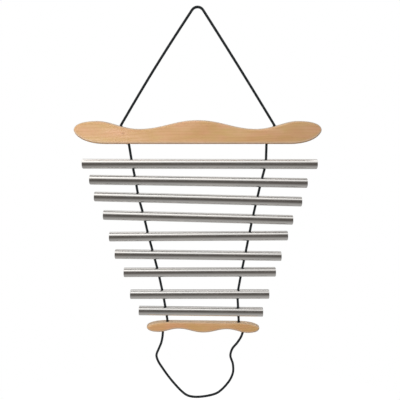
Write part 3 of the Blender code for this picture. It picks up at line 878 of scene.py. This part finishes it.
def add_cord(name, points, radii, closed_ends=True):
    """A braided cord along a path: a ring of points at each place, its radius raised and lowered by the
    braid, with half balls that close its ends."""
    points = np.array(points, float)
    radii = np.broadcast_to(np.array(radii, float), (len(points),)).copy()
    tangents, sides, ups = frames_along(points)
    rounds = np.linspace(0, np.pi / 2, 6)[1:]
    start_balls = points[0] - np.sin(rounds[::-1])[:, None] * radii[0] * tangents[0]
    end_balls = points[-1] + np.sin(rounds)[:, None] * radii[-1] * tangents[-1]
    centres = np.concatenate([start_balls, points, end_balls])
    sides = np.concatenate([np.repeat(sides[:1], 5, 0), sides, np.repeat(sides[-1:], 5, 0)])
    ups = np.concatenate([np.repeat(ups[:1], 5, 0), ups, np.repeat(ups[-1:], 5, 0)])
    shrink = np.concatenate([np.cos(rounds[::-1]), np.ones(len(points)), np.cos(rounds)])
    radii = np.concatenate([np.full(5, radii[0]), radii, np.full(5, radii[-1])]) * shrink
    radii = np.maximum(radii, 1e-6)
    around = 2 * np.pi * np.arange(CORD_SIDES) / CORD_SIDES
    steps = np.linalg.norm(np.diff(centres, axis=0), axis=1)
    along = np.concatenate([[0.0], np.cumsum(steps)])
    relief = braid_height(around[None, :], along[:, None])
    radius = radii[:, None] * (1 + BRAID_RELIEF * (relief - 0.5))
    grid = (
        centres[:, None]
        + radius[..., None] * np.cos(around)[None, :, None] * sides[:, None]
        + radius[..., None] * np.sin(around)[None, :, None] * ups[:, None]
    )
    mesh = mesh_from_grid(name, grid)
    shape = bmesh.new()
    shape.from_mesh(mesh)
    shape.verts.ensure_lookup_table()
    shape.faces.new(shape.verts[:CORD_SIDES])
    shape.faces.new(shape.verts[-CORD_SIDES:])
    bmesh.ops.recalc_face_normals(shape, faces=shape.faces)
    shape.to_mesh(mesh)
    shape.free()
    attribute = mesh.attributes.new("relief", "FLOAT", "POINT")
    attribute.data.foreach_set("value", relief.astype(np.float32).ravel())
    put_cord_map(mesh, along)
    mesh.shade_smooth()
    return add_piece(name, mesh, CORD_BRAID)


def put_cord_map(mesh, along):
    """A UV map in metres: U round the cord and V along it, unbroken where a face meets the seam."""
    corners = np.zeros(len(mesh.loops), np.int32)
    mesh.loops.foreach_get("vertex_index", corners)
    column = corners % CORD_SIDES
    row = corners // CORD_SIDES
    starts = np.zeros(len(mesh.polygons), np.int32)
    mesh.polygons.foreach_get("loop_start", starts)
    totals = np.zeros(len(mesh.polygons), np.int32)
    mesh.polygons.foreach_get("loop_total", totals)
    face = np.repeat(np.arange(len(starts)), totals)
    highest = np.maximum.reduceat(column, starts)
    seam = (highest[face] == CORD_SIDES - 1) & (column == 0) & (totals[face] == 4)
    column = np.where(seam, CORD_SIDES, column)
    layer = mesh.uv_layers.new(name="cord_map")
    values = np.stack([column * 2 * np.pi * CORD_RADIUS / CORD_SIDES, along[row]], axis=1)
    layer.data.foreach_set("uv", values.astype(np.float32).ravel())


def overhand_knot(start, along):
    """The path of a knot: from the cord's line out to a tilted coil of a turn and three quarters and
    back again. At a share s of it the cord has turned by 3.5 pi s, lies a sin(pi s)^0.5 off the line,
    and the coil's tilt adds to how far along it is."""
    sideways = unit(np.cross((0.0, 1.0, 0.0), along))
    forwards = np.cross(along, sideways)
    share = np.linspace(0.0, 1.0, 90)[1:-1]
    turn = 3.5 * np.pi * share
    reach = (KNOT_DIAMETER / 2 - CORD_RADIUS * 0.92) * np.sin(np.pi * share) ** 0.5
    depth = KNOT_HEIGHT * (0.22 + 0.56 * share) + 0.35 * reach * np.cos(turn)
    offset = reach[:, None] * (np.cos(turn)[:, None] * sideways + np.sin(turn)[:, None] * forwards)
    return start + depth[:, None] * along + offset


def knotted(start, along):
    """A straight stretch with a knot in it, from where the cord enters the knot to where it leaves."""
    return np.concatenate([[start], overhand_knot(start, along), [start + along * KNOT_HEIGHT]])


def ladder_stretch(level, side):
    """From just inside the piece above, through a tube's upper wall, its knot and its lower wall."""
    above = PLACES.direction(level - 1, side)
    start = PLACES.exit(level - 1, side) - above * 0.8 * MM
    knot = knotted(PLACES.knot_start(level, side), above)
    exit = PLACES.exit(level, side)
    inner = exit - PLACES.direction(level, side) * 2 * TUBE_WALL
    return resample(np.concatenate([[start], knot, [inner, exit]]), CORD_STEP)


def bend_between(piece):
    """Bakes a cord's placement into its mesh."""
    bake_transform(piece)


def add_ladder_cords():
    """Both runs of cord, a piece for each stretch that swings."""
    for side in SIDES:
        hole = PLACES.stations[side][0]
        inside = unit(hole - PLACES.hanger_ends[side])
        route = np.concatenate([[PLACES.hanger_ends[side]], knotted(hole - inside * KNOT_HEIGHT, inside)])
        piece = add_cord(f"cord_in_top_bar_{side}", resample(route, CORD_STEP), CORD_RADIUS)
        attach(piece, "top_bar")
        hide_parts(f"top_bar_cord_{side}")
        for number in range(1, TUBE_COUNT + 1):
            piece = add_cord(f"ladder_cord_{number}_{side}", ladder_stretch(number, side), CORD_RADIUS)
            bend_between(piece)
            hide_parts(f"tube_{number}_cord_{side}")
        above = PLACES.direction(TUBE_COUNT, side)
        start = PLACES.exit(TUBE_COUNT, side) - above * 0.8 * MM
        entry = PLACES.stations[side][-1]
        leaving = unit(PLACES.loop_holes[side] - entry)
        bend = smooth_route([entry - above * MM, entry, entry + leaving * MM], CORD_STEP)
        knot = knotted(PLACES.loop_holes[side] - leaving * KNOT_HEIGHT, leaving)
        route = np.concatenate([[start], bend, knot])
        piece = add_cord(f"cord_in_bottom_bar_{side}", resample(route, CORD_STEP), CORD_RADIUS)
        bend_between(piece)
        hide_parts(f"bottom_bar_cord_{side}")


def hanger_path():
    """The hanging cord: a strand up from the bar's left hole, an arc over the hook, a strand down."""
    centre = np.array([0.0, 0.0, CORD_RADIUS - HOOK_BEND_RADIUS])
    strands = {}
    leans = {}
    for side, sign in SIDES.items():
        end = PLACES.hanger_ends[side]
        reach = end - centre
        distance = np.linalg.norm(reach)
        lean = math.atan2(sign * reach[0], -reach[2]) - math.asin(HOOK_BEND_RADIUS / distance)
        leans[side] = lean
        bend = centre + HOOK_BEND_RADIUS * np.array([sign * math.cos(lean), 0.0, math.sin(lean)])
        along = unit(end - bend)
        outwards = np.array([-along[2] * sign, 0.0, along[0] * sign])
        share = np.linspace(0.0, 1.0, 40)[:, None]
        strands[side] = bend + (end - bend) * share + outwards * STRAND_BOWS[side] * np.sin(np.pi * share)
    angle = np.linspace(math.pi / 2 + (math.pi / 2 - leans["left"]), leans["right"], 40)[1:-1]
    arc = centre + HOOK_BEND_RADIUS * np.stack([np.cos(angle), 0 * angle, np.sin(angle)], axis=1)
    return resample(np.concatenate([strands["left"][::-1], arc, strands["right"]]), CORD_STEP)


def add_hanger_cord():
    """The hanging cord in one piece. It bends at the hook, which holds its middle."""
    points = hanger_path()
    piece = add_cord("hanging_cord", points, CORD_RADIUS)
    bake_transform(piece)
    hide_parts("hanger_bend", "hanger_strand_left", "hanger_strand_right")


def add_pull_loop():
    """The loop under the bottom bar, as it hangs in the photograph."""
    lowest = max(BOTTOM_BAR["crest"], BOTTOM_BAR["lobe"])
    reference = PLACES.bottom_bar - (0.0, 0.0, lowest)
    corners = [PLACES.loop_holes["left"]]
    corners += [reference + (x, 0.0, z) for x, z in PULL_LOOP_ROUTE]
    corners += [PLACES.loop_holes["right"]]
    points = smooth_route(corners, CORD_STEP)
    piece = add_cord("pull_loop_cord", points, CORD_RADIUS)
    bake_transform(piece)
    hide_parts("pull_loop")


# Studio


def add_floor():
    """A pale floor well below the chime. To the camera it is white, apart from soft shadow near the
    place under the chime."""
    drop = 0.9
    made, nodes, shader = new_material("pale_floor")
    output = made.node_tree.nodes["Material Output"].inputs["Surface"]
    shader["Base Color"].default_value = (0.8, 0.8, 0.8, 1.0)
    shader["Roughness"].default_value = 0.9
    path = nodes.add("ShaderNodeLightPath").outputs
    seen = nodes.math("MAXIMUM", path["Is Camera Ray"], path["Is Glossy Ray"])
    seen = nodes.math("MAXIMUM", seen, path["Is Transmission Ray"])
    parts = nodes.add("ShaderNodeSeparateXYZ", Vector=nodes.add("ShaderNodeTexCoord").outputs["Object"]).outputs
    flat = nodes.add("ShaderNodeCombineXYZ", X=parts["X"], Y=parts["Y"]).outputs[0]
    reach = nodes.add("ShaderNodeVectorMath", {"operation": "LENGTH"})
    nodes.put(reach.inputs[0], flat)
    far = nodes.spread(reach.outputs["Value"], 0.5, 1.6)
    helped = nodes.add("ShaderNodeEmission", Strength=nodes.math("MULTIPLY", seen, 0.56)).outputs[0]
    lit = nodes.tree.nodes.new("ShaderNodeAddShader")
    nodes.put(lit.inputs[0], made.node_tree.nodes["Principled BSDF"].outputs[0])
    nodes.put(lit.inputs[1], helped)
    mixed = nodes.tree.nodes.new("ShaderNodeMixShader")
    nodes.put(mixed.inputs[0], nodes.math("MULTIPLY", seen, far))
    nodes.put(mixed.inputs[1], lit.outputs[0])
    nodes.put(mixed.inputs[2], nodes.add("ShaderNodeEmission", Strength=1.0).outputs[0])
    nodes.put(output, mixed.outputs[0])
    reach = 6.0
    corners = np.array([[(-reach, -reach, 0), (reach, -reach, 0)], [(-reach, reach, 0), (reach, reach, 0)]], float)
    corners[..., 2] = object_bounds()[0].z - drop
    mesh = mesh_from_grid("floor", corners, around=False)
    floor = bpy.data.objects.new("floor", mesh)
    bpy.context.scene.collection.objects.link(floor)
    mesh.materials.append(made)
    floor.visible_glossy = False
    floor.visible_diffuse = False


def add_tent():
    """The studio that the metal mirrors, on a sphere that only reflections see: white overhead, a dark
    curtain at the height of the lens, a grey floor in front and a pale wall behind, dark at its foot.
    Both ends go from dark below to white above. To the left the curtain is narrower, and to the right
    the white dims."""
    centre = np.array([0.0, 0.0, -0.12])
    radius = 0.69
    rise = np.linspace(-np.pi / 2, np.pi / 2, 33)
    around = np.linspace(0, 2 * np.pi, 64, endpoint=False)
    grid = np.zeros((len(rise), len(around), 3))
    grid[..., 0] = np.cos(rise)[:, None] * np.cos(around)
    grid[..., 1] = np.cos(rise)[:, None] * np.sin(around)
    grid[..., 2] = np.sin(rise)[:, None]
    mesh = mesh_from_grid("studio_tent", centre + radius * grid)
    made, nodes, shader = new_material("studio_tent")
    parts = nodes.add("ShaderNodeSeparateXYZ", Vector=nodes.add("ShaderNodeTexCoord").outputs["Object"]).outputs
    left = nodes.math("MAXIMUM", nodes.math("MULTIPLY", parts["X"], -1.0), 0.0)
    upper = nodes.math("ADD", parts["Z"], nodes.math("MULTIPLY", left, 0.36))
    lower = nodes.math("ADD", parts["Z"], nodes.math("MULTIPLY", left, 0.27))
    curtain = (0.098, 0.088, 0.079, 1.0)
    ground = (0.475, 0.462, 0.447, 1.0)
    skirting = nodes.mix(nodes.spread(parts["Z"], -0.75, -0.45), ground, (0.17, 0.16, 0.15, 1.0))
    wall = nodes.mix(nodes.spread(parts["Z"], -0.2, 0.04), skirting, (0.70, 0.685, 0.67, 1.0))
    wall = nodes.mix(nodes.spread(parts["Z"], 0.55, 0.8), wall, (0.95, 0.93, 0.91, 1.0))
    ceiling = nodes.mix(
        nodes.spread(parts["X"], -0.35, 0.35),
        (1.33, 1.305, 1.27, 1.0),
        (1.21, 1.185, 1.155, 1.0),
    )
    level = nodes.mix(nodes.spread(lower, -0.82, -0.345, 1.0, 0.0), curtain, ground)
    level = nodes.mix(nodes.spread(upper, 0.185, 0.50), level, ceiling)
    behind = nodes.math("SUBTRACT", parts["Y"], nodes.spread(parts["Z"], -0.1, 0.3, 0.0, 0.28))
    level = nodes.mix(nodes.spread(behind, 0.15, 0.42), level, wall)
    end = nodes.spread(nodes.math("ABSOLUTE", parts["X"]), 0.44, 0.6)
    level = nodes.mix(nodes.math("MULTIPLY", end, 0.8), level, (0.12, 0.115, 0.11, 1.0))
    pale_end = nodes.math("MULTIPLY", end, nodes.spread(parts["Z"], -0.36, -0.1))
    level = nodes.mix(pale_end, level, (0.84, 0.825, 0.81, 1.0))
    glow = nodes.add("ShaderNodeEmission", Color=level, Strength=1.0).outputs[0]
    nodes.put(made.node_tree.nodes["Material Output"].inputs["Surface"], glow)
    tent = bpy.data.objects.new("studio_tent", mesh)
    bpy.context.scene.collection.objects.link(tent)
    mesh.materials.append(made)
    tent.visible_camera = False
    tent.visible_diffuse = False
    tent.visible_shadow = False
    tent.visible_transmission = False


def add_lamp(name, place, aim, size, watts):
    """A soft square lamp that lights wood and cord but isn't mirrored."""
    data = bpy.data.lights.new(name, "AREA")
    data.size = size
    data.energy = watts
    lamp = bpy.data.objects.new(name, data)
    bpy.context.scene.collection.objects.link(lamp)
    lamp.location = place
    lamp.rotation_euler = (Vector(aim) - Vector(place)).to_track_quat("-Z", "Y").to_euler()
    lamp.visible_glossy = False
    lamp.visible_camera = False


def add_light():
    """Soft light from all round, more from above and from the front left, before a white background."""
    world = bpy.data.worlds.new("studio")
    bpy.context.scene.world = world
    world.use_nodes = True
    nodes = Nodes(world.node_tree)
    background = world.node_tree.nodes["Background"].inputs
    path = nodes.add("ShaderNodeLightPath").outputs
    seen = nodes.math("MAXIMUM", path["Is Camera Ray"], path["Is Glossy Ray"])
    seen = nodes.math("MAXIMUM", seen, path["Is Transmission Ray"])
    soft = nodes.add("ShaderNodeSeparateXYZ", Vector=nodes.add("ShaderNodeTexCoord").outputs["Generated"])
    dome = nodes.spread(soft.outputs["Z"], -0.7, 0.6, 0.08, 0.64)
    shown = nodes.math("MULTIPLY", nodes.math("SUBTRACT", 1.0, dome), seen)
    nodes.put(background["Strength"], nodes.math("ADD", dome, shown))
    background["Color"].default_value = (1.0, 1.0, 1.0, 1.0)
    middle = (0.0, 0.0, -0.25)
    add_lamp("key", (-0.41, -0.82, -0.2), middle, 0.5, 5.95)
    add_lamp("back", (0.5, 1.2, 0.3), middle, 0.8, 8.0)
    bpy.context.scene.view_settings.view_transform = "Standard"


add_camera()
add_hanger_cord()
add_pull_loop()
add_ladder_cords()
add_bars()
for tube_number in range(1, TUBE_COUNT + 1):
    add_tube(tube_number)
add_floor()
add_tent()
add_light()
